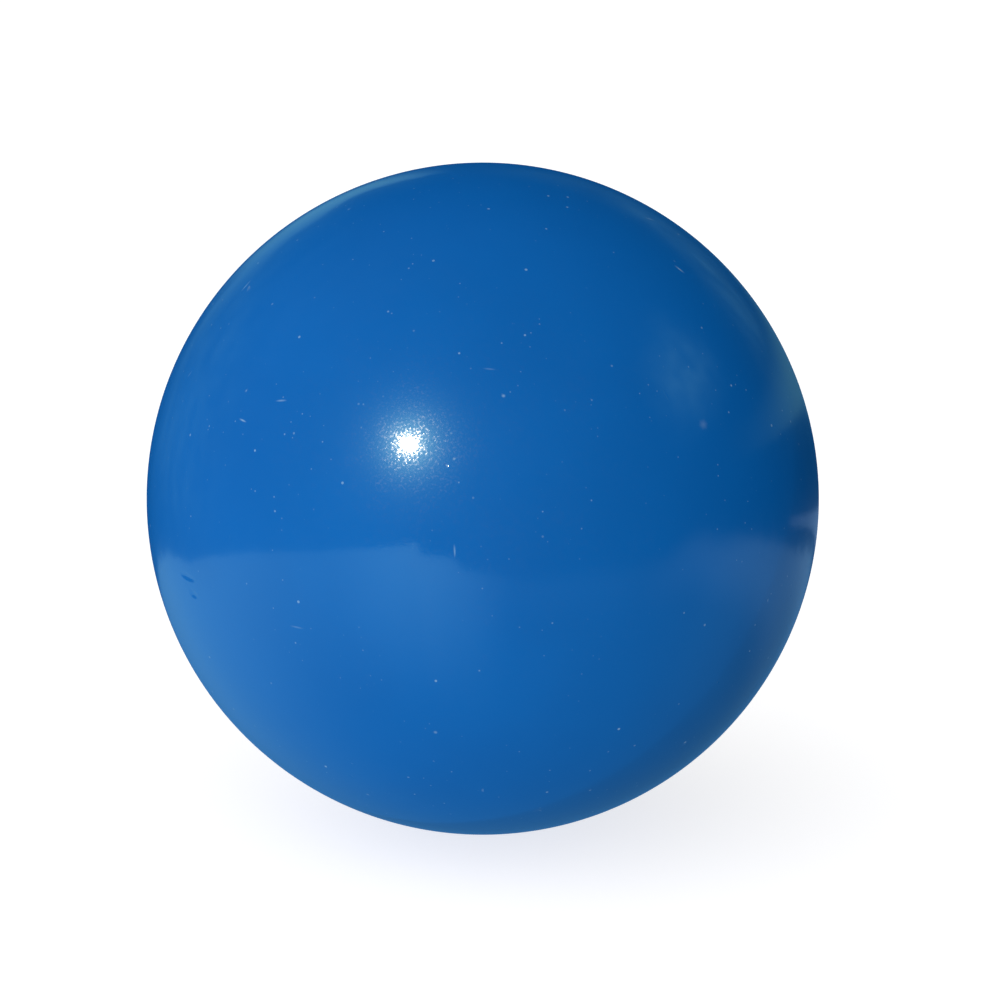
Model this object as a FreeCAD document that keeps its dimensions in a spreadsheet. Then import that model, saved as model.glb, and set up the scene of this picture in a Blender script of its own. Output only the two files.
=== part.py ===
"""A regulation composition croquet ball: a cork-and-rubber core in a moulded two-part plastic cover.

Millimetres, +Z up. The origin is the centre of the ball, and the XY plane is the parting plane, where the
rims of the two half shells meet. The ball rests on its lowest point, half its diameter below the origin.
"""

import FreeCAD, Part
import math
import os
import Sketcher

# name in the sheet, plain number (millimetres, degrees or a count), what it measures
DRIVING_DIMENSIONS = (
    ("BallDiameter", 92.075, "outside of the ball, 3 5/8 inches"),
    ("ShellWall", 8.0, "thickness of the cover"),
    ("BondThickness", 0.25, "adhesive film between the cover and the core"),
    ("TongueRoot", 3.0, "width of the tongue where it leaves the rim"),
    ("TongueTip", 2.4, "width of the tongue at its end"),
    ("TongueLength", 3.0, "how far the tongue stands out of the rim"),
    ("JointGap", 0.15, "adhesive on each side of the tongue"),
    ("FloorGap", 0.6, "adhesive between the end of the tongue and the floor of the groove"),
    ("RimRelief", 0.6, "relief inside each rim, which takes the spare adhesive"),
    ("PadLatitude", 45, "angle from the parting plane up to the middle of a spacer pad"),
    ("PadRise", 5, "angle that a spacer pad takes from bottom to top"),
    ("PadSweep", 7, "angle that a spacer pad takes about the polar axis"),
    ("PadCount", 3, "spacer pads in each half shell, which centre the core"),
)

# name in the sheet, formula in the names above it
DERIVED_DIMENSIONS = (
    ("OuterRadius", "BallDiameter / 2"),
    ("InnerRadius", "OuterRadius - ShellWall"),
    ("CoreRadius", "InnerRadius - BondThickness"),
    ("MidWall", "OuterRadius - ShellWall / 2"),
    ("TongueRootInside", "MidWall - TongueRoot / 2"),
    ("TongueRootOutside", "MidWall + TongueRoot / 2"),
    ("TongueTipInside", "MidWall - TongueTip / 2"),
    ("TongueTipOutside", "MidWall + TongueTip / 2"),
    ("GrooveMouthInside", "TongueRootInside - JointGap"),
    ("GrooveMouthOutside", "TongueRootOutside + JointGap"),
    ("GrooveFloorInside", "TongueTipInside - JointGap"),
    ("GrooveFloorOutside", "TongueTipOutside + JointGap"),
    ("GrooveDepth", "TongueLength + FloorGap"),
    ("ReliefEdge", "InnerRadius + RimRelief"),
    ("ReliefBase", "CoreRadius - RimRelief"),
    ("ReliefHeight", "ReliefEdge - ReliefBase"),
    ("PadFrom", "CoreRadius - BondThickness"),
    ("PadTo", "InnerRadius + BondThickness"),
    ("PadBottom", "(PadLatitude - PadRise / 2) * 1 deg"),
    ("PadTop", "(PadLatitude + PadRise / 2) * 1 deg"),
    ("PadBottomFromOut", "PadFrom * cos(PadBottom)"),
    ("PadBottomFromUp", "PadFrom * sin(PadBottom)"),
    ("PadBottomToOut", "PadTo * cos(PadBottom)"),
    ("PadBottomToUp", "PadTo * sin(PadBottom)"),
    ("PadTopFromOut", "PadFrom * cos(PadTop)"),
    ("PadTopFromUp", "PadFrom * sin(PadTop)"),
    ("PadTopToOut", "PadTo * cos(PadTop)"),
    ("PadTopToUp", "PadTo * sin(PadTop)"),
)

SHEET = "Dimensions"
FULL_TURN = 360
HALF_TURN = 180

# how a sketch constraint names the origin, the two axes and the points of an edge
ORIGIN = (-1, 1)
LEVEL_AXIS = -1
UPRIGHT_AXIS = -2
START, END, CENTRE = 1, 2, 3

# the corners of the sections that are turned about the polar axis: each is (distance out, height)
TONGUE = (
    ("TongueRootInside", "axis"),
    ("TongueTipInside", "-TongueLength"),
    ("TongueTipOutside", "-TongueLength"),
    ("TongueRootOutside", "axis"),
)
GROOVE = (
    ("GrooveMouthInside", "axis"),
    ("GrooveFloorInside", "GrooveDepth"),
    ("GrooveFloorOutside", "GrooveDepth"),
    ("GrooveMouthOutside", "axis"),
)
RIM_RELIEF = (
    ("ReliefBase", "ReliefHeight"),
    ("ReliefBase", "-ReliefHeight"),
    ("ReliefEdge", "axis"),
)
SPACER_PAD = (
    ("PadBottomFromOut", "PadBottomFromUp"),
    ("PadBottomToOut", "PadBottomToUp"),
    ("PadTopToOut", "PadTopToUp"),
    ("PadTopFromOut", "PadTopFromUp"),
)


def opposite(name):
    """The name of the same distance on the other side of the axis."""
    if name == "axis":
        return name
    return name[1:] if name.startswith("-") else "-" + name


def turned_over(corners):
    """A section as it lies once its half shell is turned over about the level Y axis."""
    return tuple((opposite(out), opposite(up)) for out, up in corners)


def upside_down(corners):
    """A section mirrored in the parting plane."""
    return tuple((out, opposite(up)) for out, up in corners)


def make_sheet(doc):
    """The spreadsheet that drives every size in the document."""
    sheet = doc.addObject("Spreadsheet::Sheet", SHEET)
    cells = [(name, str(value), meaning) for name, value, meaning in DRIVING_DIMENSIONS]
    cells += [(name, f"={formula}", formula) for name, formula in DERIVED_DIMENSIONS]
    for row, (name, content, meaning) in enumerate(cells, start=1):
        sheet.set(f"A{row}", meaning)
        sheet.set(f"B{row}", content)
        sheet.setAlias(f"B{row}", name)
    doc.recompute()


def size(name):
    """The number under a name in the sheet, negative with a leading minus, and zero on an axis."""
    if name == "axis":
        return 0.0
    sheet = FreeCAD.ActiveDocument.getObject(SHEET)
    value = float(sheet.get(name.lstrip("-")))
    return -value if name.startswith("-") else value


def origin_feature(body, role):
    """One of a body's own origin planes or axes."""
    return next(feature for feature in body.Origin.OriginFeatures if feature.Role == role)


def new_sketch(body, label):
    """A sketch in the body's upright XZ plane, out from the polar axis and up it."""
    sketch = body.newObject("Sketcher::SketchObject", f"{body.Name}_{label}_sketch")
    sketch.AttachmentSupport = [(origin_feature(body, "XZ_Plane"), "")]
    sketch.MapMode = "FlatFace"
    return sketch


def join(sketch, edges):
    """Closes a sketch: the end of each edge meets the start of the next."""
    for edge, following in zip(edges, edges[1:] + edges[:1]):
        sketch.addConstraint(Sketcher.Constraint("Coincident", edge, END, following, START))


def drive(sketch, kind, places, name):
    """Adds a dimension to a sketch and binds it to its name in the sheet."""
    index = sketch.addConstraint(Sketcher.Constraint(kind, *places, size(name)))
    sketch.setExpression(f"Constraints[{index}]", f"{SHEET}.{name}")


def hold(sketch, corner, direction, axis, name):
    """Holds a corner on an axis, or at its named distance from it."""
    if name == "axis":
        sketch.addConstraint(Sketcher.Constraint("PointOnObject", *corner, axis))
    elif name.startswith("-"):
        drive(sketch, direction, (*corner, *ORIGIN), opposite(name))
    else:
        drive(sketch, direction, (*ORIGIN, *corner), name)


def straight_section(body, label, corners):
    """A closed sketch of straight edges through the named corners."""
    sketch = new_sketch(body, label)
    points = [FreeCAD.Vector(size(out), size(up), 0) for out, up in corners]
    ends = points[1:] + points[:1]
    edges = [sketch.addGeometry(Part.LineSegment(start, end)) for start, end in zip(points, ends)]
    join(sketch, edges)
    for edge, (out, up) in zip(edges, corners):
        hold(sketch, (edge, START), "DistanceX", UPRIGHT_AXIS, out)
        hold(sketch, (edge, START), "DistanceY", LEVEL_AXIS, up)
    return sketch


def round_section(body, label, radius, whole):
    """A closed sketch of half a disc about the origin, or of its upper quarter if it isn't whole."""
    sketch = new_sketch(body, label)
    reach = size(radius)
    pole = FreeCAD.Vector(0, reach, 0)
    if whole:
        corners = [pole, -pole]
    else:
        corners = [pole, FreeCAD.Vector(), FreeCAD.Vector(reach, 0, 0)]
    first_angle = -math.pi / 2 if whole else 0
    circle = Part.Circle(FreeCAD.Vector(), FreeCAD.Vector(0, 0, 1), reach)
    arc = sketch.addGeometry(Part.ArcOfCircle(circle, first_angle, math.pi / 2))
    lines = [sketch.addGeometry(Part.LineSegment(a, b)) for a, b in zip(corners, corners[1:])]
    join(sketch, [arc] + lines)
    sketch.addConstraint(Sketcher.Constraint("Coincident", arc, CENTRE, *ORIGIN))
    sketch.addConstraint(Sketcher.Constraint("PointOnObject", arc, END, UPRIGHT_AXIS))
    if whole:
        sketch.addConstraint(Sketcher.Constraint("PointOnObject", arc, START, UPRIGHT_AXIS))
    else:
        sketch.addConstraint(Sketcher.Constraint("PointOnObject", arc, START, LEVEL_AXIS))
        sketch.addConstraint(Sketcher.Constraint("Coincident", lines[0], END, *ORIGIN))
    drive(sketch, "Radius", (arc,), radius)
    return sketch


def turn(body, kind, label, sketch):
    """Turns a section once about the polar axis: kind is Revolution to add it, or Groove to cut it."""
    feature = body.newObject(f"PartDesign::{kind}", f"{body.Name}_{label}")
    feature.Profile = sketch
    feature.ReferenceAxis = (sketch, ["V_Axis"])
    feature.Angle = FULL_TURN
    return feature


def turn_pads(body, kind, label, corners):
    """Adds or cuts one spacer pad and repeats it round the polar axis."""
    sketch = straight_section(body, label, corners)
    pad = turn(body, kind, label, sketch)
    pad.Midplane = True
    pad.setExpression("Angle", f"{SHEET}.PadSweep * 1 deg")
    ring = body.newObject("PartDesign::PolarPattern", f"{body.Name}_{label}_ring")
    ring.Originals = [pad]
    ring.Axis = (origin_feature(body, "Z_Axis"), [""])
    ring.Angle = FULL_TURN
    ring.setExpression("Occurrences", f"{SHEET}.PadCount")
    body.Tip = ring


def new_body(doc, label):
    """An empty body for one piece of the ball."""
    body = doc.addObject("PartDesign::Body", label)
    body.Label = label
    return body


def half_shell(doc, label):
    """Half of the cover, dome up on the parting plane, before its rim gets a tongue or a groove.

    The spacer pads are cut to the core's own radius, so that they bear on it all over.
    """
    body = new_body(doc, label)
    turn(body, "Revolution", "dome", round_section(body, "dome", "OuterRadius", whole=False))
    turn(body, "Groove", "cavity", round_section(body, "cavity", "InnerRadius", whole=True))
    turn_pads(body, "Revolution", "pad", SPACER_PAD)
    turn(body, "Groove", "core_seat", round_section(body, "core_seat", "CoreRadius", whole=True))
    turn(body, "Groove", "relief", straight_section(body, "relief", RIM_RELIEF))
    return body


def make_upper_shell(doc):
    """The half of the cover with the tongue."""
    body = half_shell(doc, "upper_shell")
    turn(body, "Revolution", "tongue", straight_section(body, "tongue", TONGUE))


def make_lower_shell(doc):
    """The half of the cover with the groove, turned over so that its pads stagger with the upper ones."""
    body = half_shell(doc, "lower_shell")
    turn(body, "Groove", "groove", straight_section(body, "groove", GROOVE))
    turned = FreeCAD.Rotation(FreeCAD.Vector(0, 1, 0), HALF_TURN)
    body.Placement = FreeCAD.Placement(FreeCAD.Vector(), turned)


def make_composition_core(doc):
    """The pressed ball of cork granules and rubber."""
    body = new_body(doc, "composition_core")
    turn(body, "Revolution", "ball", round_section(body, "ball", "CoreRadius", whole=True))


def make_bonding_film(doc):
    """The adhesive between core and cover, with its ridge in the rims' relief and a window for each pad."""
    body = new_body(doc, "bonding_film")
    turn(body, "Revolution", "film", round_section(body, "film", "InnerRadius", whole=True))
    turn(body, "Revolution", "ridge", straight_section(body, "ridge", RIM_RELIEF))
    turn(body, "Groove", "core_space", round_section(body, "core_space", "CoreRadius", whole=True))
    turn_pads(body, "Groove", "upper_window", SPACER_PAD)
    turn_pads(body, "Groove", "lower_window", turned_over(SPACER_PAD))


def make_seam_adhesive(doc):
    """The adhesive ring that fills the groove round the tongue."""
    body = new_body(doc, "seam_adhesive")
    turn(body, "Revolution", "fill", straight_section(body, "fill", upside_down(GROOVE)))
    turn(body, "Groove", "tongue_space", straight_section(body, "tongue_space", TONGUE))


def check(doc):
    """Stops if any object failed, any sketch is loose, or any piece isn't one sound solid."""
    for item in doc.Objects:
        if {"Invalid", "Error"} & set(item.State):
            raise RuntimeError(f"{item.Label} failed: {item.State}")
        if item.TypeId == "Sketcher::SketchObject" and not item.FullyConstrained:
            raise RuntimeError(f"{item.Label} isn't fully constrained")
        if item.TypeId == "PartDesign::Body":
            shape = item.Shape
            if shape.isNull() or not shape.isValid() or len(shape.Solids) != 1:
                raise RuntimeError(f"{item.Label} isn't one sound solid")


def export(doc):
    """Writes one STEP file for each piece, named after it."""
    os.makedirs("parts", exist_ok=True)
    for item in doc.Objects:
        if item.TypeId == "PartDesign::Body":
            item.Shape.exportStep(os.path.join("parts", f"{item.Label}.step"))
            print(f"{item.Label}: {item.Shape.Volume:.1f} mm3")


def main():
    doc = FreeCAD.newDocument("CroquetBall")
    make_sheet(doc)
    make_upper_shell(doc)
    make_lower_shell(doc)
    make_composition_core(doc)
    make_bonding_film(doc)
    make_seam_adhesive(doc)
    doc.recompute()
    check(doc)
    export(doc)


main()
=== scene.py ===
"""The looks of a polished blue composition croquet ball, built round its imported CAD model.

The two half shells are rebuilt as fine meshes with their whole section: the polished dome with the nicks
and scratches of play, the jointed rim, and the inner wall with its spacer pads. The core is rebuilt with
the relief of pressed cork. The two adhesive pieces keep their CAD shapes. Lengths are metres, but the
materials measure in millimetres, and the room that the polish mirrors is laid out in degrees.
"""

import math
import random

import bmesh
import bpy
from mathutils import Matrix, Vector, kdtree, noise


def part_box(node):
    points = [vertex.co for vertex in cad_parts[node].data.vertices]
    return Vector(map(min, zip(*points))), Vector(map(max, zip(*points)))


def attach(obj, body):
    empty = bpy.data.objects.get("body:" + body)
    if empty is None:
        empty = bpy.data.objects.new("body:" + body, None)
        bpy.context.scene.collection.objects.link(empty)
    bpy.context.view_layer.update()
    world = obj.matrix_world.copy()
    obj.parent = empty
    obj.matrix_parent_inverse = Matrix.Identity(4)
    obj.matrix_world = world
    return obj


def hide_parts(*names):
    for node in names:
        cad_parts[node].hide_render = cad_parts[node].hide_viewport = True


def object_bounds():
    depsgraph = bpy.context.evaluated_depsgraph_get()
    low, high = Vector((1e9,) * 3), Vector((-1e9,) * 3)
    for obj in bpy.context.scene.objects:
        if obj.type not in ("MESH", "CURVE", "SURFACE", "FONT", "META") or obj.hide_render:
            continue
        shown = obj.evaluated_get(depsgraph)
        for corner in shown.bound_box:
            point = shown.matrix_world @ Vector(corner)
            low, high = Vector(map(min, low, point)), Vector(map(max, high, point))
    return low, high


MM = 0.001
TAU = 2 * math.pi

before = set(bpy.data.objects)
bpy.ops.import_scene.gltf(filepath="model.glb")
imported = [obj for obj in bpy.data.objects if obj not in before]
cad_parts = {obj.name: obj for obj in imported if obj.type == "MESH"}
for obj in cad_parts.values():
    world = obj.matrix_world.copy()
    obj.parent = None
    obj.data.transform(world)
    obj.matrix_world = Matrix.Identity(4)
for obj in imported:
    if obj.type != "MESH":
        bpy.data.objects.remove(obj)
cad_low, cad_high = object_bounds()

# sizes of the ball, read from the CAD nodes' boxes
BALL_RADIUS = (cad_high.z - cad_low.z) / 2
INNER_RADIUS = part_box("bonding_film")[1].z
RELIEF_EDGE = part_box("bonding_film")[1].x
CORE_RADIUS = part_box("composition_core")[1].z
GROOVE_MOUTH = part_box("seam_adhesive")[1].x
GROOVE_DEPTH = -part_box("seam_adhesive")[0].z
TONGUE_LENGTH = -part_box("upper_shell")[0].z
MID_WALL = (BALL_RADIUS + INNER_RADIUS) / 2

# sizes that no box gives, as the CAD model has them
JOINT_GAP = 0.15 * MM
TONGUE_TAPER = 0.3 * MM
PAD_LATITUDE = math.radians(45)
PAD_HALF_RISE = math.radians(2.5)
PAD_HALF_SWEEP = math.radians(3.5)
PADS_PER_SHELL = 3


# ---------------------------------------------------------------- node helpers


class Field:
    """A number that a node works out at each point. Python's operators on it add Math nodes."""

    def __init__(self, tree, socket):
        self.tree = tree
        self.socket = socket

    def math(self, operation, *others):
        """A Math node on this and other numbers."""
        node = self.tree.nodes.new("ShaderNodeMath")
        node.operation = operation
        for slot, value in zip(node.inputs, (self, *others)):
            connect(self.tree, value, slot)
        return Field(self.tree, node.outputs[0])

    def __add__(self, other):
        return self.math("ADD", other)

    def __sub__(self, other):
        return self.math("SUBTRACT", other)

    def __mul__(self, other):
        return self.math("MULTIPLY", other)

    def inverse(self):
        """One minus this."""
        return self * -1 + 1

    def step(self, low, high, start=0.0, end=1.0):
        """Goes smoothly from start to end as this goes from low to high."""
        node = self.tree.nodes.new("ShaderNodeMapRange")
        node.interpolation_type = "SMOOTHSTEP"
        set_inputs(self.tree, node, Value=self, From_Min=low, From_Max=high, To_Min=start, To_Max=end)
        return Field(self.tree, node.outputs["Result"])

    def hump(self, centre, reach, height=1.0):
        """A smooth hump on an angle in degrees: height at centre, and nothing from reach away."""
        away = (self - centre).math("WRAP", 180, -180).math("ABSOLUTE")
        return away.step(0, reach, height, 0.0)

    def curve(self, square, slope, level):
        """A parabola over this."""
        return self * (self * square + slope) + level


def connect(tree, value, slot):
    """Feeds a socket with a field, another socket or a plain value."""
    if isinstance(value, Field):
        tree.links.new(value.socket, slot)
    elif isinstance(value, bpy.types.NodeSocket):
        tree.links.new(value, slot)
    else:
        slot.default_value = value


def set_inputs(tree, node, **values):
    """Feeds a node's inputs by name, with _ for a space."""
    for name, value in values.items():
        connect(tree, value, node.inputs[name.replace("_", " ")])


def output_of(tree, kind, output, **inputs):
    """Adds a node, feeds its inputs by name, and gives back one output."""
    node = tree.nodes.new(kind)
    set_inputs(tree, node, **inputs)
    return node.outputs[output]


def vector_math(tree, operation, vector, other, output="Vector"):
    """A Vector Math node on a vector and another one."""
    node = tree.nodes.new("ShaderNodeVectorMath")
    node.operation = operation
    connect(tree, vector, node.inputs[0])
    connect(tree, other, node.inputs[1])
    return node.outputs[output]


def scaled(tree, vector, factor):
    """A vector, a place or a colour times a number."""
    node = tree.nodes.new("ShaderNodeVectorMath")
    node.operation = "SCALE"
    connect(tree, vector, node.inputs[0])
    connect(tree, factor, node.inputs["Scale"])
    return node.outputs["Vector"]


def turned(tree, place, angles):
    """A place turned by Euler angles in degrees."""
    node = tree.nodes.new("ShaderNodeVectorRotate")
    node.rotation_type = "EULER_XYZ"
    set_inputs(tree, node, Vector=place, Rotation=[math.radians(angle) for angle in angles])
    return node.outputs["Vector"]


def with_identifier(slots, identifier):
    """The socket with that identifier: a Mix node has several by the same name."""
    return next(slot for slot in slots if slot.identifier == identifier)


def blended(tree, share, first, second):
    """A colour that goes from first to second as share goes from 0 to 1."""
    node = tree.nodes.new("ShaderNodeMix")
    node.data_type = "RGBA"
    connect(tree, share, with_identifier(node.inputs, "Factor_Float"))
    for value, identifier in ((first, "A_Color"), (second, "B_Color")):
        colour = (*value, 1) if isinstance(value, tuple) else value
        connect(tree, colour, with_identifier(node.inputs, identifier))
    return with_identifier(node.outputs, "Result_Color")


def noise_field(tree, place, size, detail=2.0, roughness=0.5):
    """Smooth noise about 0.5, with features of that size."""
    node = tree.nodes.new("ShaderNodeTexNoise")
    set_inputs(tree, node, Vector=place, Scale=1 / size, Detail=detail, Roughness=roughness)
    return Field(tree, node.outputs["Fac"])


def strand_field(tree, place, angles, slenderness, size, detail=2.0):
    """Noise that is drawn out along one turned axis, like brushed hairs."""
    drawn_out = vector_math(tree, "MULTIPLY", turned(tree, place, angles), (1, 1, slenderness))
    return noise_field(tree, drawn_out, size, detail)


def cell_fields(tree, place, size):
    """Random cells of that size: the distance from the cell's centre, and a random number per cell."""
    node = tree.nodes.new("ShaderNodeTexVoronoi")
    set_inputs(tree, node, Vector=place, Scale=1 / size)
    draw = output_of(tree, "ShaderNodeSeparateColor", "Red", Color=node.outputs["Color"])
    return Field(tree, node.outputs["Distance"]) * size, Field(tree, draw)


def dot_fields(tree, place, spacing, core, rim, growth, strength=1.0):
    """Round dots, one to a cell, fading from core to rim and larger by chance, and each cell's number."""
    distance, draw = cell_fields(tree, place, spacing)
    return (distance - draw * growth).step(core, rim, strength, 0.0), draw


def crack_field(tree, place, size):
    """The distance from the nearest border between random cells of that size."""
    node = tree.nodes.new("ShaderNodeTexVoronoi")
    node.feature = "DISTANCE_TO_EDGE"
    set_inputs(tree, node, Vector=place, Scale=1 / size)
    return Field(tree, node.outputs["Distance"]) * size


def millimetre_place(tree):
    """The point's place on the object, in millimetres."""
    return scaled(tree, tree.nodes.new("ShaderNodeTexCoord").outputs["Object"], 1 / MM)


def bumped(tree, height):
    """A surface normal for a height field in millimetres."""
    return output_of(tree, "ShaderNodeBump", "Normal", Strength=1.0, Distance=1.0, Height=height * MM)


def new_material(name):
    """An empty node material, its tree and its Principled shader."""
    material = bpy.data.materials.new(name)
    material.use_nodes = True
    return material, material.node_tree, material.node_tree.nodes["Principled BSDF"]


# ---------------------------------------------------------------- object helpers


def unit_from(latitude, longitude):
    """A unit vector, with longitude 0 along +X."""
    flat = math.cos(latitude)
    return Vector((flat * math.cos(longitude), flat * math.sin(longitude), math.sin(latitude)))


def direction_from(bearing, elevation):
    """A unit vector: bearing 0 is the camera's side, and turns towards +X."""
    return unit_from(elevation, bearing - math.pi / 2)


def new_object(name, data):
    """An object that is in the scene."""
    item = bpy.data.objects.new(name, data)
    bpy.context.scene.collection.objects.link(item)
    return item


def paint(piece, *materials):
    """Gives a piece these materials in place of any that it has."""
    piece.data.materials.clear()
    for material in materials:
        piece.data.materials.append(material)


# ---------------------------------------------------------------- studio

# the camera, and how much of the picture's width the ball takes and how far off its middle it sits
CAMERA_ELEVATION = math.radians(17.6)
CAMERA_DISTANCE = 0.9
SENSOR_WIDTH = 36.0
BALL_SHARE = 0.6724
AIM_RIGHT = 0.0172
AIM_DOWN = 0.0014

# the levels and directions of the lights, and the floor
WHITE_LEVEL = 1.1
SOFT_LEVEL = 0.595
SOFT_LEAN = 1.13
SOFT_BEARING = math.radians(-41)
SOFT_ELEVATION = math.radians(14)
GLINT_BEARING = math.radians(-29.4)
GLINT_ELEVATION = math.radians(33.5)
GLINT_WIDTH = math.radians(0.53)
GLINT_ENERGY = 3.3
GLINT_COLOUR = (1.0, 0.9, 0.7)
FLOOR_REACH = 20.0
FLOOR_GREY = 0.55
FLOOR_GLOW = 0.74

# The room that the polish mirrors, by bearing and elevation in degrees. Bearing 0 is the camera's side.
# A hump is (centre, reach, height), or (centre, reach) if it is 1 high. A step is (from, to, value before,
# value after), or (from, to) if it goes from 0 to 1. A parabola is (square, slope, level).

# the ground's far edge, and how raggedly and softly it ends
EDGE_LOWEST = -19.5
EDGE_HIGHEST = 1.8
EDGE_SLOPE = 0.22
EDGE_LEVEL = 6.64
EDGE_STEPS = ((-22, -20, 0.0, -3.9), (-10, -6, 0.0, -4.5), (-5, 15, 0.0, -3.1), (82, 142, 0.0, -9.8))
EDGE_KNOLLS = ((75, 14, 3.5), (-165, 38, -1.2))
EDGE_JITTER = 4
JITTER_SIZE = 0.04
EDGE_SOFTER = (-10, 25, 0.3, 4.0)
EDGE_CRISPER = (80, 120, 0.0, -3.0)

# how light the ground is, and how that fades away from its edge
GROUND_LEVEL = 0.05
GROUND_HUMPS = (
    (-21, 34, 0.52),
    (-92, 78, 0.34),
    (-45, 30, 0.10),
    (92, 40, 0.08),
    (-145, 35, 0.075),
)
GROUND_FADE = (-12, 62, 1.0, 0.0)
VERGE_HUMPS = ((97, 50, 0.17), (135, 35, 0.06), (20, 60, 0.03))
VERGE_FADE = (5, 18, 1.0, 0.0)
KERB = (150, 30, 0.10)
KERB_FADE = (0, 7, 1.0, 0.0)

# the haze above the ground, with the elevations that each patch spans
SKY_LEVEL = 0.004
SKY_HUMPS = ((-75, 70, 0.015), (-60, 40, 0.01))
SKY_FADE = (30, 70, 1.0, 0.2)
FAR_HAZE = (155, 30, 0.06)
FAR_HAZE_RISE = (9, 13)
LEFT_HAZE = (-128, 45, 0.06)
LEFT_HAZE_FOOT = (-20, -8)
LEFT_HAZE_TOP = (14, 26, 1.0, 0.3)
SMUDGE = (97, 27, 0.24)
SMUDGE_RISE = (31, 16)
STREAK_SIZE = 0.09
STREAK_TURN = (0, 35, 0)
STREAK_CONTRAST = (0.35, 0.65, 0.4, 1.6)

# the far wall behind the ball, with its broken top
WALL_LEVEL = 0.17
WALL_SIDES = ((-178, -173), (-172, -147, 1.0, 0.0))
WALL_FOOT = (-9, 2)
WALL_TOP = (10.5, 11.5, 1.0, 0.0)
WALL_JITTER = 2
WALL_BREAKS = 14
WALL_BREAK_SIZE = 0.12

# the awning and the rail on the right, each along a parabola
AWNING = (142, 52, 0.11)
AWNING_LINE = (-0.0014, 0.0836, 10.5)
AWNING_JITTER = 2
AWNING_EDGE = (0, 1.5)
AWNING_FADE = (3, 10, 1.0, 0.0)
RAIL_LEVEL = 0.16
RAIL_START = 131
RAIL_ENDS = ((-6, 0), (36, 46, 1.0, 0.0))
RAIL_LINE = (0.0017, -0.15, -15)
RAIL_EDGE = (0.4, 0.9)

# the tints of all these, and how much more haze lies towards -X
SKY_TINT = (0.85, 2.2, 2.0)
GROUND_TINT = (1.0, 2.15, 2.4)
VERGE_TINT = (1.0, 1.6, 2.4)
SKY_HAZE = (0.0, 0.06, 0.22)
GROUND_HAZE = (0.0, 0.11, 0.38)
HAZE_LEAN = -1.3


def make_camera():
    """A camera at bearing 0, so far off and so long that the ball takes BALL_SHARE of the width."""
    data = bpy.data.cameras.new("camera")
    camera = new_object("camera", data)
    bpy.context.scene.camera = camera
    back = direction_from(0, CAMERA_ELEVATION)
    outline = BALL_RADIUS / math.sqrt(CAMERA_DISTANCE**2 - BALL_RADIUS**2)
    data.sensor_width = SENSOR_WIDTH
    data.lens = SENSOR_WIDTH * BALL_SHARE / 2 / outline
    frame_width = SENSOR_WIDTH / data.lens * CAMERA_DISTANCE
    right = Vector((1, 0, 0))
    down = right.cross(back)
    aim = (right * AIM_RIGHT + down * AIM_DOWN) * frame_width
    camera.location = back * CAMERA_DISTANCE
    camera.rotation_euler = (aim - camera.location).to_track_quat("-Z", "Y").to_euler()


def sum_of_humps(angle, level, humps):
    """A level all round, with humps on it."""
    total = angle * 0 + level
    for hump in humps:
        total = total + angle.hump(*hump)
    return total


def ground_edge(bearing):
    """The elevation of the ground's far edge."""
    edge = bearing * EDGE_SLOPE + EDGE_LEVEL
    edge = edge.math("MAXIMUM", EDGE_LOWEST).math("MINIMUM", EDGE_HIGHEST)
    for step in EDGE_STEPS:
        edge = edge + bearing.step(*step)
    return edge + sum_of_humps(bearing, 0.0, EDGE_KNOLLS)


def haze_light(tree, direction, bearing, elevation):
    """Streaky haze all round, with a few denser patches."""
    across = turned(tree, direction, STREAK_TURN)
    streaks = noise_field(tree, across, STREAK_SIZE, detail=4.0, roughness=0.7)
    light = sum_of_humps(bearing, SKY_LEVEL, SKY_HUMPS) * elevation.step(*SKY_FADE)
    light = light + bearing.hump(*FAR_HAZE) * elevation.hump(*FAR_HAZE_RISE)
    left_rise = elevation.step(*LEFT_HAZE_FOOT) * elevation.step(*LEFT_HAZE_TOP)
    light = light + bearing.hump(*LEFT_HAZE) * left_rise
    light = light + bearing.hump(*SMUDGE) * elevation.hump(*SMUDGE_RISE)
    return light * streaks.step(*STREAK_CONTRAST)


def wall_light(tree, direction, bearing, elevation, ragged):
    """The pale wall that closes the room behind the ball."""
    breaks = noise_field(tree, direction, WALL_BREAK_SIZE) - 0.5
    height = elevation + ragged * WALL_JITTER + breaks * WALL_BREAKS
    start, end = WALL_SIDES
    across = bearing.step(*start) * bearing.step(*end)
    return across * height.step(*WALL_FOOT) * height.step(*WALL_TOP) * WALL_LEVEL


def awning_light(bearing, elevation, ragged):
    """A pale awning high on the right: crisp below, and fading upwards."""
    above = elevation - bearing.curve(*AWNING_LINE) + ragged * AWNING_JITTER
    return bearing.hump(*AWNING) * above.step(*AWNING_EDGE) * above.step(*AWNING_FADE)


def rail_light(bearing, elevation):
    """A pale rail on the right, just above the ground."""
    along = bearing - RAIL_START
    away = (elevation - along.curve(*RAIL_LINE)).math("ABSOLUTE")
    start, end = RAIL_ENDS
    return away.step(*RAIL_EDGE, RAIL_LEVEL, 0.0) * along.step(*start) * along.step(*end)


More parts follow.
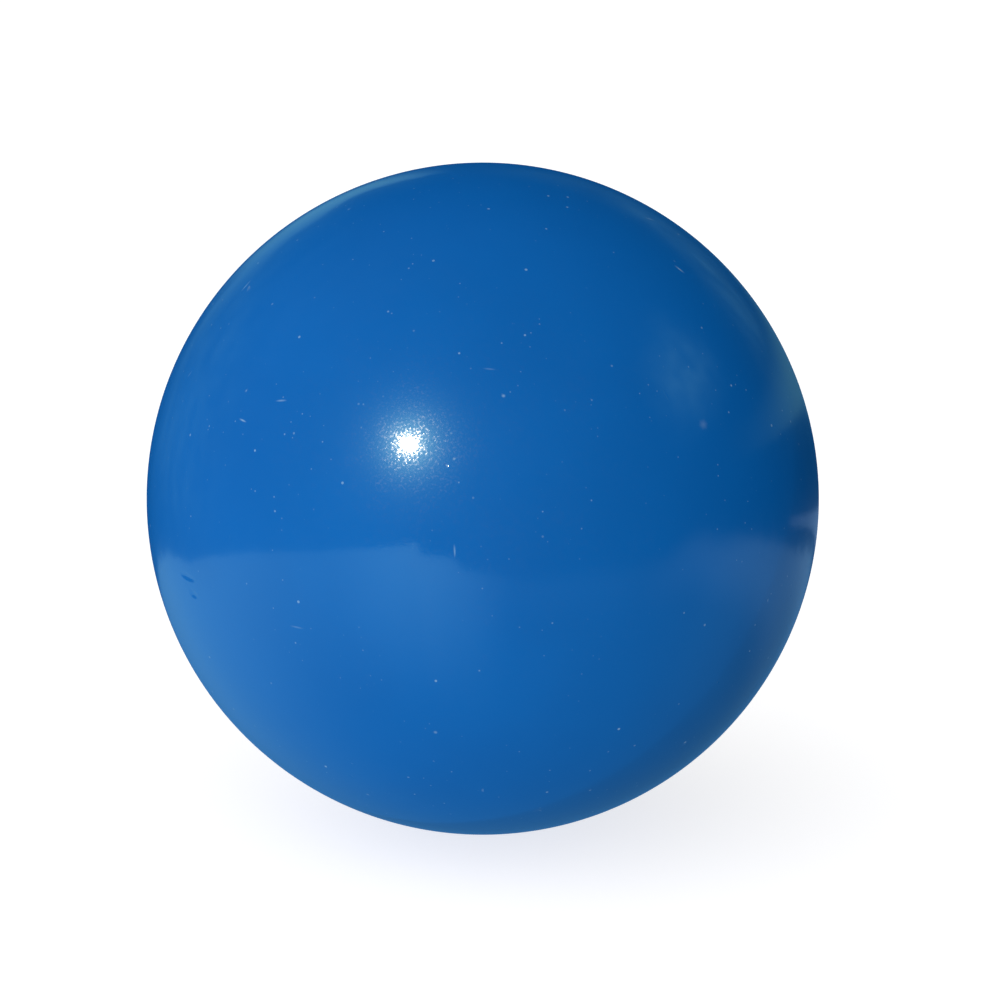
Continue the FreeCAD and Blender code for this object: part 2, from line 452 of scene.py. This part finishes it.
def reflected_room(tree, direction):
    """What the polish mirrors: a dim blue room round a pale ground that fades towards the ball."""
    x, y, z = (
        Field(tree, output_of(tree, "ShaderNodeSeparateXYZ", axis, Vector=direction)) for axis in "XYZ"
    )
    bearing = x.math("ARCTAN2", y * -1) * math.degrees(1)
    elevation = z.math("ARCSINE") * math.degrees(1)
    ragged = noise_field(tree, direction, JITTER_SIZE, detail=4.0, roughness=0.7) - 0.5
    depth = ground_edge(bearing) + ragged * EDGE_JITTER - elevation
    softness = bearing.step(*EDGE_SOFTER) + bearing.step(*EDGE_CRISPER)
    is_ground = depth.step(softness * -1, softness)
    is_sky = is_ground.inverse()
    ground = sum_of_humps(bearing, 0.0, GROUND_HUMPS) * depth.step(*GROUND_FADE) + GROUND_LEVEL
    verge = sum_of_humps(bearing, 0.0, VERGE_HUMPS) * depth.step(*VERGE_FADE)
    verge = verge + bearing.hump(*KERB) * depth.step(*KERB_FADE)
    sky = haze_light(tree, direction, bearing, elevation)
    sky = sky + wall_light(tree, direction, bearing, elevation, ragged)
    sky = sky + awning_light(bearing, elevation, ragged)
    lean = (x * HAZE_LEAN + 1).math("MAXIMUM", 0.0)
    light = scaled(tree, SKY_TINT, sky * is_sky)
    for field, tint in (
        (lean * is_sky, SKY_HAZE),
        (ground * is_ground, GROUND_TINT),
        (verge * is_ground, VERGE_TINT),
        (rail_light(bearing, elevation) * is_sky, VERGE_TINT),
        (lean.math("MINIMUM", 1.0) * is_ground, GROUND_HAZE),
    ):
        light = vector_math(tree, "ADD", light, scaled(tree, tint, field))
    return light


def soft_light(tree, direction):
    """The soft light that falls on things: from all round, and more from one side."""
    side = direction_from(SOFT_BEARING, SOFT_ELEVATION)
    facing = Field(tree, vector_math(tree, "DOT_PRODUCT", direction, side, "Value"))
    return ((facing * SOFT_LEAN + 1) * SOFT_LEVEL).math("MAXIMUM", 0.0)


def chosen(tree, test, shader, other):
    """One shader where the test says 1, and the other elsewhere."""
    node = tree.nodes.new("ShaderNodeMixShader")
    for value, slot in zip((test, other, shader), node.inputs):
        connect(tree, value, slot)
    return node.outputs["Shader"]


def make_studio():
    """White to the camera, with one soft light to fall on things and a room for the polish to mirror."""
    world = bpy.data.worlds.new("studio")
    bpy.context.scene.world = world
    world.use_nodes = True
    tree = world.node_tree
    tree.nodes.clear()
    direction = tree.nodes.new("ShaderNodeTexCoord").outputs["Generated"]
    ray = tree.nodes.new("ShaderNodeLightPath").outputs
    white, soft, room = (
        output_of(tree, "ShaderNodeBackground", "Background", Color=colour)
        for colour in (
            (WHITE_LEVEL, WHITE_LEVEL, WHITE_LEVEL, 1),
            soft_light(tree, direction),
            reflected_room(tree, direction),
        )
    )
    light = chosen(tree, ray["Is Glossy Ray"], room, soft)
    light = chosen(tree, ray["Is Camera Ray"], white, light)
    connect(tree, light, tree.nodes.new("ShaderNodeOutputWorld").inputs["Surface"])


def make_glint_lamp():
    """A small far lamp that shows only as the glint in the polish."""
    data = bpy.data.lights.new("glint_lamp", "SUN")
    data.energy = GLINT_ENERGY
    data.color = GLINT_COLOUR
    data.angle = GLINT_WIDTH
    lamp = new_object("glint_lamp", data)
    lamp.rotation_euler = direction_from(GLINT_BEARING, GLINT_ELEVATION).to_track_quat("Z", "Y").to_euler()
    lamp.visible_diffuse = False


def make_floor():
    """A plain pale floor under the ball."""
    mesh = bpy.data.meshes.new("floor")
    corners = [(x * FLOOR_REACH, y * FLOOR_REACH, 0) for x, y in ((-1, -1), (1, -1), (1, 1), (-1, 1))]
    mesh.from_pydata(corners, [], [(0, 1, 2, 3)])
    floor = new_object("floor", mesh)
    floor.location.z = -BALL_RADIUS
    material, tree, shader = new_material("pale_floor")
    set_inputs(
        tree,
        shader,
        Base_Color=(FLOOR_GREY, FLOOR_GREY, FLOOR_GREY, 1),
        Roughness=1.0,
        Specular_IOR_Level=0.0,
        Emission_Color=(1, 1, 1, 1),
        Emission_Strength=FLOOR_GLOW,
    )
    paint(floor, material)
    floor.visible_glossy = False
    floor.visible_diffuse = False


# ---------------------------------------------------------------- meshes

OUTER_FINENESS = 96
INNER_FINENESS = 48
CORE_FINENESS = 96
TOLERANCE = 0.01 * MM
SHARP_TURN = math.radians(30)
PAD_SURROUNDINGS = 5 * MM

# how finely and how far round a mark the dome is cut, and how near to the joint a random mark may lie
MARK_CUTS = 7
MARK_MARGIN = 0.8
MARK_LATITUDE = math.radians(3.5)

# the random marks of a half shell, in millimetres or as shares of a nick's length
NICKS_PER_SHELL = 34
NICK_LENGTH = (0.13, 0.34)
NICK_WIDTH_SHARE = (0.6, 1.0)
NICK_DEPTH_SHARE = (0.08, 0.16)
SCRATCHES_PER_SHELL = 14
SCRATCH_LENGTH = (0.5, 1.3)
SCRATCH_WIDTH = (0.12, 0.2)
SCRATCH_DEPTH = (0.012, 0.025)
CHALKED_SHARE = 0.7
CHALK_AMOUNT = (0.2, 0.9)

# the clean dents in the lower half, in degrees and then millimetres, before it is turned over:
# (latitude, longitude, tilt, length, width, depth)
LOWER_DENTS = ((4.4, -30.5, 2, 2.5, 0.7, 0.075), (7.1, -32, -1, 1.4, 0.75, 0.09))

# the core's granules and the relief on it: a share of it is cracks, and the rest is lumps
GRANULE = 2.6 * MM
LUMP = 3 * GRANULE
RELIEF_DEPTH = 0.25 * MM
CRACK_RELIEF = 0.7
LUMP_RELIEF = 0.3
CRACK_REACH = 0.35


def add_ring(bm, count, radius, height):
    """A level ring of points, or one point if count is 1."""
    if count == 1:
        return [bm.verts.new((0, 0, height))]
    angles = [TAU * i / count for i in range(count)]
    return [bm.verts.new((radius * math.cos(a), radius * math.sin(a), height)) for a in angles]


def add_dome(bm, fineness, radius, foot, foot_latitude=0.0):
    """Closes a foot ring of 4 * fineness points with a dome of even triangles. Gives back its points."""
    made = list(foot)
    low = foot
    for step in range(1, fineness + 1):
        run = fineness - step
        latitude = foot_latitude + (math.pi / 2 - foot_latitude) * step / fineness
        high = add_ring(bm, max(1, 4 * run), radius * math.cos(latitude), radius * math.sin(latitude))
        for quarter in range(4):
            for i in range(run + 1):
                a = low[quarter * (run + 1) + i]
                b = low[(quarter * (run + 1) + i + 1) % len(low)]
                c = high[(quarter * run + i) % len(high)]
                bm.faces.new((a, b, c))
                if i < run:
                    d = high[(quarter * run + i + 1) % len(high)]
                    bm.faces.new((b, d, c))
        made += high
        low = high
    return made


def bridge(bm, first, second):
    """Joins two rings with quads, or with triangles if the second has half as many points."""
    count = len(first)
    if len(second) == count:
        for i in range(count):
            j = (i + 1) % count
            bm.faces.new((first[i], first[j], second[j], second[i]))
        return
    for i in range(len(second)):
        a, b, c = first[2 * i], first[2 * i + 1], first[(2 * i + 2) % count]
        d, e = second[i], second[(i + 1) % len(second)]
        bm.faces.new((a, b, d))
        bm.faces.new((b, e, d))
        bm.faces.new((b, c, e))


class Mark:
    """A nick or scratch in the polish: an oval dent with soft sides, at a unit direction."""

    def __init__(self, at, along, long, wide, depth, residue=0.0):
        self.at, self.along = at, along
        self.across = at.cross(along)
        self.long, self.wide, self.depth = long, wide, depth
        self.residue = residue

    def dent(self, place):
        """How deep the mark is at a place on the ball, and how that changes along the surface."""
        offset = place - self.at * BALL_RADIUS
        u = offset.dot(self.along) / self.long
        v = offset.dot(self.across) / self.wide
        share = u * u + v * v
        if share >= 1 or place.dot(self.at) < 0:
            return 0.0, Vector()
        fall = 4 * self.depth * (1 - share)
        slope = (self.along * (u / self.long) + self.across * (v / self.wide)) * -fall
        return self.depth * (1 - share) ** 2, slope


def random_mark(draw, long, wide, depth):
    """A mark somewhere on a half shell, with some chalk left in most of them."""
    at = unit_from(math.asin(draw.uniform(math.sin(MARK_LATITUDE), 1)), draw.uniform(0, TAU))
    along = at.orthogonal().normalized()
    along.rotate(Matrix.Rotation(draw.uniform(0, TAU), 3, at))
    residue = draw.uniform(*CHALK_AMOUNT) if draw.random() < CHALKED_SHARE else 0.0
    return Mark(at, along, long, wide, depth, residue)


def mallet_dent(latitude, longitude, tilt, long, wide, depth):
    """A clean dent at a given place, in degrees and millimetres, tilted up from level."""
    at = unit_from(math.radians(latitude), math.radians(longitude))
    along = Vector((0, 0, 1)).cross(at).normalized()
    along.rotate(Matrix.Rotation(math.radians(tilt), 3, at))
    return Mark(at, along, long * MM, wide * MM, depth * MM)


def draw_marks(draw):
    """The random marks in one half shell."""
    marks = []
    for _ in range(NICKS_PER_SHELL):
        long = draw.uniform(*NICK_LENGTH) * MM
        wide = long * draw.uniform(*NICK_WIDTH_SHARE)
        depth = long * draw.uniform(*NICK_DEPTH_SHARE)
        marks.append(random_mark(draw, long, wide, depth))
    for _ in range(SCRATCHES_PER_SHELL):
        long = draw.uniform(*SCRATCH_LENGTH) * MM
        wide = draw.uniform(*SCRATCH_WIDTH) * MM
        depth = draw.uniform(*SCRATCH_DEPTH) * MM
        marks.append(random_mark(draw, long, wide, depth))
    return marks


def place_tree(verts):
    """A tree for finding points by place."""
    tree = kdtree.KDTree(len(verts))
    for index, vert in enumerate(verts):
        tree.insert(vert.co, index)
    tree.balance()
    return tree


def dome_points(bm):
    """The points of the polished dome: no other point is nearly so far out."""
    return [vert for vert in bm.verts if vert.co.length > BALL_RADIUS - TOLERANCE]


def refine_dome(bm, marks):
    """Cuts the dome's edges round each mark, and fans out the faces that get more than four corners."""
    spacing = BALL_RADIUS * math.pi / 2 / OUTER_FINENESS
    dome = dome_points(bm)
    tree = place_tree(dome)
    near = set()
    for mark in marks:
        found = tree.find_range(mark.at * BALL_RADIUS, mark.long + spacing * MARK_MARGIN)
        near |= {dome[index] for _, index, _ in found}
    edges = [edge for edge in bm.edges if near.issuperset(edge.verts)]
    bmesh.ops.subdivide_edges(bm, edges=edges, cuts=MARK_CUTS, use_grid_fill=True)
    bmesh.ops.poke(bm, faces=[face for face in bm.faces if len(face.verts) > 4])


def press_marks(bm, marks, polish, residue):
    """Sinks the marks into the refined dome, and notes the smooth normal of every point on it."""
    refine_dome(bm, marks)
    dome = dome_points(bm)
    for vert in dome:
        vert.co = vert.co.normalized() * BALL_RADIUS
        vert[polish] = vert.co.normalized()
    tree = place_tree(dome)
    for mark in marks:
        for place, index, _ in tree.find_range(mark.at * BALL_RADIUS, mark.long):
            depth, slope = mark.dent(place)
            vert = dome[index]
            vert.co -= mark.at * depth
            vert[polish] += slope
            vert[residue] = max(vert[residue], mark.residue * depth / mark.depth)


def pad_sides(longitude):
    """The four planes round a spacer pad, each as a point on it and its outward normal."""
    sides = []
    for sign in (-1, 1):
        side = longitude + sign * PAD_HALF_SWEEP
        sides.append((Vector(), Vector((-math.sin(side), math.cos(side), 0)) * sign))
        height = INNER_RADIUS * math.sin(PAD_LATITUDE + sign * PAD_HALF_RISE)
        sides.append((Vector((0, 0, height)), Vector((0, 0, sign))))
    return sides


def cut_across(bm, faces, point, outward):
    """Cuts faces with a plane, and gives back those on both sides of it."""
    parts = [*faces]
    parts += [edge for face in faces for edge in face.edges]
    parts += [vert for face in faces for vert in face.verts]
    parts = list(dict.fromkeys(parts))
    cut = bmesh.ops.bisect_plane(bm, geom=parts, dist=TOLERANCE, plane_co=point, plane_no=outward)
    return [item for item in cut["geom"] if isinstance(item, bmesh.types.BMFace)]


def add_pads(bm):
    """Raises the spacer pads out of the inner wall."""
    for number in range(PADS_PER_SHELL):
        longitude = TAU * number / PADS_PER_SHELL
        centre = unit_from(PAD_LATITUDE, longitude) * INNER_RADIUS
        sides = pad_sides(longitude)
        near = [face for face in bm.faces if (face.calc_center_median() - centre).length < PAD_SURROUNDINGS]
        for point, outward in sides:
            near = cut_across(bm, near, point, outward)
        pad = [
            face for face in near
            if all((face.calc_center_median() - point).dot(outward) < 0 for point, outward in sides)
        ]
        lifted = bmesh.ops.extrude_face_region(bm, geom=pad)["geom"]
        for vert in (item for item in lifted if isinstance(item, bmesh.types.BMVert)):
            vert.co *= CORE_RADIUS / vert.co.length
        bmesh.ops.delete(bm, geom=pad, context="FACES_KEEP_BOUNDARY")


def rim_profile(has_tongue):
    """The rim's corners from the outside in, as (distance out, height), with the dome above."""
    if has_tongue:
        outside, length = GROOVE_MOUTH - JOINT_GAP, -TONGUE_LENGTH
    else:
        outside, length = GROOVE_MOUTH, GROOVE_DEPTH
    inside = 2 * MID_WALL - outside
    return (
        (outside, 0.0),
        (outside - TONGUE_TAPER, length),
        (inside + TONGUE_TAPER, length),
        (inside, 0.0),
        (RELIEF_EDGE, 0.0),
    )


def inner_foot():
    """Where the rim's 45 degree relief meets the inner wall, as (distance out, height)."""
    height = (RELIEF_EDGE - math.sqrt(2 * INNER_RADIUS**2 - RELIEF_EDGE**2)) / 2
    return RELIEF_EDGE - height, height


def add_half_section(bm, has_tongue):
    """The whole skin of a half shell: the dome, the rim and the inner wall with its pads."""
    last = add_ring(bm, 4 * OUTER_FINENESS, BALL_RADIUS, 0)
    add_dome(bm, OUTER_FINENESS, BALL_RADIUS, last)
    for out, height in rim_profile(has_tongue):
        following = add_ring(bm, len(last), out, height)
        bridge(bm, last, following)
        last = following
    foot_out, foot_height = inner_foot()
    foot = add_ring(bm, 4 * INNER_FINENESS, foot_out, foot_height)
    bridge(bm, last, foot)
    add_dome(bm, INNER_FINENESS, INNER_RADIUS, foot, math.asin(foot_height / INNER_RADIUS))
    add_pads(bm)


def closed_mesh(name, bm):
    """A mesh with every face outwards, shaded smoothly but for the edges that turn by SHARP_TURN."""
    bmesh.ops.recalc_face_normals(bm, faces=bm.faces)
    if bm.calc_volume(signed=True) < 0:
        bmesh.ops.reverse_faces(bm, faces=bm.faces)
    mesh = bpy.data.meshes.new(name)
    bm.to_mesh(mesh)
    bm.free()
    mesh.polygons.foreach_set("use_smooth", [True] * len(mesh.polygons))
    mesh.set_sharp_from_angle(angle=SHARP_TURN)
    return mesh


def finish_polish(mesh):
    """Gives the dome the noted normals, so that the joint can't show, and the rest the second material."""
    noted = [Vector(item.vector) for item in mesh.attributes["polish"].data]
    normals = []
    for face in mesh.polygons:
        on_dome = all(noted[index].length > 0 for index in face.vertices)
        face.material_index = 0 if on_dome else 1
        normals += [noted[index].normalized() if on_dome else Vector() for index in face.vertices]
    mesh.normals_split_custom_set(normals)


def make_half_shell(name, node, has_tongue, seed, dents, materials):
    """One half of the cover, dome up for the tongued half and turned over for the grooved one."""
    bm = bmesh.new()
    polish = bm.verts.layers.float_vector.new("polish")
    residue = bm.verts.layers.float.new("residue")
    add_half_section(bm, has_tongue)
    marks = draw_marks(random.Random(seed)) + [mallet_dent(*dent) for dent in dents]
    press_marks(bm, marks, polish, residue)
    if not has_tongue:
        turn_over = Matrix.Rotation(math.pi, 4, "Y")
        for vert in bm.verts:
            vert.co = turn_over @ vert.co
            vert[polish] = turn_over @ vert[polish]
    shell = new_object(name, closed_mesh(name, bm))
    paint(shell, *materials)
    finish_polish(shell.data)
    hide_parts(node)
    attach(shell, "root")


def make_core(material):
    """The pressed ball of cork granules, sunk a little along the borders between them."""
    bm = bmesh.new()
    equator = add_ring(bm, 4 * CORE_FINENESS, CORE_RADIUS, 0)
    add_dome(bm, CORE_FINENESS, CORE_RADIUS, equator)
    for vert in add_dome(bm, CORE_FINENESS, CORE_RADIUS, equator):
        vert.co.z *= -1
    for vert in bm.verts:
        distances, _ = noise.voronoi(vert.co / GRANULE)
        crack = max(0.0, 1 - (distances[1] - distances[0]) / CRACK_REACH)
        lumps = noise.noise(vert.co / LUMP) * 0.5 + 0.5
        vert.co *= 1 - RELIEF_DEPTH / CORE_RADIUS * (CRACK_RELIEF * crack**2 + LUMP_RELIEF * lumps)
    core = new_object("pressed_core", closed_mesh("pressed_core", bm))
    paint(core, material)
    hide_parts("composition_core")
    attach(core, "root")


# ---------------------------------------------------------------- materials

COVER_BLUE = (0.001, 0.133, 0.489)
COVER_BLUE_DEEP = (0.001, 0.125, 0.465)
CHALK = (0.30, 0.50, 0.72)
SHEEN_TINT = (0.42, 1.0, 1.0, 1.0)
MOULDED_BLUE = (0.004, 0.13, 0.44)
MOULDED_DUST = (0.03, 0.19, 0.48)
CORK_DARK = (0.16, 0.075, 0.03)
CORK_PALE = (0.40, 0.22, 0.10)
CORK_FLECK = (0.10, 0.045, 0.02)
RUBBER = (0.02, 0.017, 0.015)
AMBER_DARK = (0.42, 0.25, 0.08)
AMBER_PALE = (0.60, 0.44, 0.20)
BUBBLE = (0.72, 0.60, 0.38)

# heights of the polish's unevenness, in millimetres
GRAIN_HEIGHT = 0.003
PINPRICK_DEPTH = 0.002
HAIRLINE_DEPTH = 0.001
RIPPLE_HEIGHT = 0.002


def pale_specks(tree, place, clouds):
    """How pale the polish is: specks, finer dust where the clouds are thick, and chalk in the marks."""
    specks, draw = dot_fields(tree, place, spacing=3.0, core=0.04, rim=0.12, growth=0.12, strength=0.7)
    specks = specks * draw * draw
    dust, draw = dot_fields(tree, place, spacing=1.3, core=0.03, rim=0.09, growth=0.06, strength=0.5)
    dust = dust * draw * clouds.step(0.4, 0.62)
    chalk = tree.nodes.new("ShaderNodeAttribute")
    chalk.attribute_name = "residue"
    return specks.math("MAXIMUM", dust).math("MAXIMUM", chalk.outputs["Fac"])


def polish_height(tree, place, worn):
    """The unevenness of the polish, in millimetres: grain and pinpricks where worn, hairlines, a ripple."""
    grain = noise_field(tree, place, size=0.45, detail=1.0)
    pinpricks = noise_field(tree, place, size=0.24, detail=1.0).step(0.54, 0.76)
    hairlines = strand_field(tree, place, (65, 20, 30), slenderness=0.08, size=0.22, detail=1.0)
    ripple = noise_field(tree, place, size=9, detail=1.0)
    scuffs = (grain * GRAIN_HEIGHT - pinpricks * PINPRICK_DEPTH) * worn
    return scuffs - hairlines.step(0.68, 0.76) * HAIRLINE_DEPTH + ripple * RIPPLE_HEIGHT


def cover_material():
    """Polished blue plastic with the fine marks of play."""
    material, tree, shader = new_material("cover_plastic")
    place = millimetre_place(tree)
    clouds = noise_field(tree, place, size=22, detail=3.0)
    colour = blended(tree, clouds.step(0.3, 0.7), COVER_BLUE, COVER_BLUE_DEEP)
    pale = pale_specks(tree, place, clouds)
    worn = noise_field(tree, place, size=5).step(0.35, 0.65, 0.7, 1.0)
    normal = bumped(tree, polish_height(tree, place, worn))
    rubbed = noise_field(tree, place, size=0.3, detail=1.0).step(0.44, 0.76) * worn
    haze = noise_field(tree, place, size=14, detail=3.0, roughness=0.6).step(0.45, 0.7, 0.06, 0.09)
    set_inputs(
        tree,
        shader,
        Base_Color=blended(tree, pale, colour, CHALK),
        Roughness=0.31,
        Specular_IOR_Level=0.155,
        Specular_Tint=SHEEN_TINT,
        Normal=normal,
        Coat_Weight=pale.step(0, 1, 0.58, 0.1),
        Coat_Roughness=haze + rubbed * 0.14,
        Coat_IOR=1.7,
        Coat_Normal=normal,
    )
    return material


def moulded_material():
    """The cover's plastic as it left the mould, roughened to take adhesive."""
    material, tree, shader = new_material("moulded_inside")
    place = millimetre_place(tree)
    grain = noise_field(tree, place, size=0.5, detail=4.0, roughness=0.6)
    keyed = strand_field(tree, place, (20, 70, 0), slenderness=0.1, size=0.3).step(0.5, 0.7)
    dust = noise_field(tree, place, size=7, detail=4.0).step(0.35, 0.7)
    set_inputs(
        tree,
        shader,
        Base_Color=blended(tree, dust, MOULDED_BLUE, MOULDED_DUST),
        Roughness=grain.step(0.3, 0.7, 0.42, 0.62),
        Specular_IOR_Level=0.4,
        Normal=bumped(tree, grain * 0.02 - keyed * 0.02),
    )
    return material


def cork_material():
    """Brown cork granules in black rubber."""
    material, tree, shader = new_material("pressed_cork")
    place = millimetre_place(tree)
    _, draw = cell_fields(tree, place, size=GRANULE / MM)
    crack = crack_field(tree, place, size=GRANULE / MM)
    grain = noise_field(tree, place, size=0.6, detail=5.0, roughness=0.65)
    cork = blended(tree, draw, CORK_DARK, CORK_PALE)
    cork = blended(tree, grain.step(0.3, 0.75), cork, CORK_FLECK)
    set_inputs(
        tree,
        shader,
        Base_Color=blended(tree, crack.step(0.04, 0.22, 1.0, 0.0), cork, RUBBER),
        Roughness=grain.step(0.2, 0.8, 0.72, 0.95),
        Specular_IOR_Level=0.25,
        Normal=bumped(tree, grain * 0.12 + crack.step(0.0, 0.3) * 0.1),
    )
    return material


def adhesive_material():
    """Cured amber adhesive: smooth in places, with small bubbles and dull smears."""
    material, tree, shader = new_material("cured_adhesive")
    place = millimetre_place(tree)
    flow = noise_field(tree, place, size=6, detail=4.0, roughness=0.6)
    bubble, _ = dot_fields(tree, place, spacing=1.1, core=0.02, rim=0.12, growth=0.22)
    amber = blended(tree, flow.step(0.3, 0.7), AMBER_DARK, AMBER_PALE)
    set_inputs(
        tree,
        shader,
        Base_Color=blended(tree, bubble, amber, BUBBLE),
        Roughness=flow.step(0.35, 0.65, 0.28, 0.5),
        Subsurface_Weight=0.1,
        Subsurface_Radius=(0.0006, 0.0004, 0.0002),
        Normal=bumped(tree, flow * 0.08 - bubble * 0.03),
    )
    return material


# ---------------------------------------------------------------- the scene

make_camera()
make_studio()
make_glint_lamp()
make_floor()
cover = (cover_material(), moulded_material())
make_half_shell("upper_half_shell", "upper_shell", has_tongue=True, seed=12, dents=(), materials=cover)
make_half_shell(
    "lower_half_shell", "lower_shell", has_tongue=False, seed=23, dents=LOWER_DENTS, materials=cover
)
make_core(cork_material())
adhesive = adhesive_material()
for adhesive_node in ("bonding_film", "seam_adhesive"):
    paint(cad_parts[adhesive_node], adhesive)

bpy.context.scene.view_settings.view_transform = "Standard"
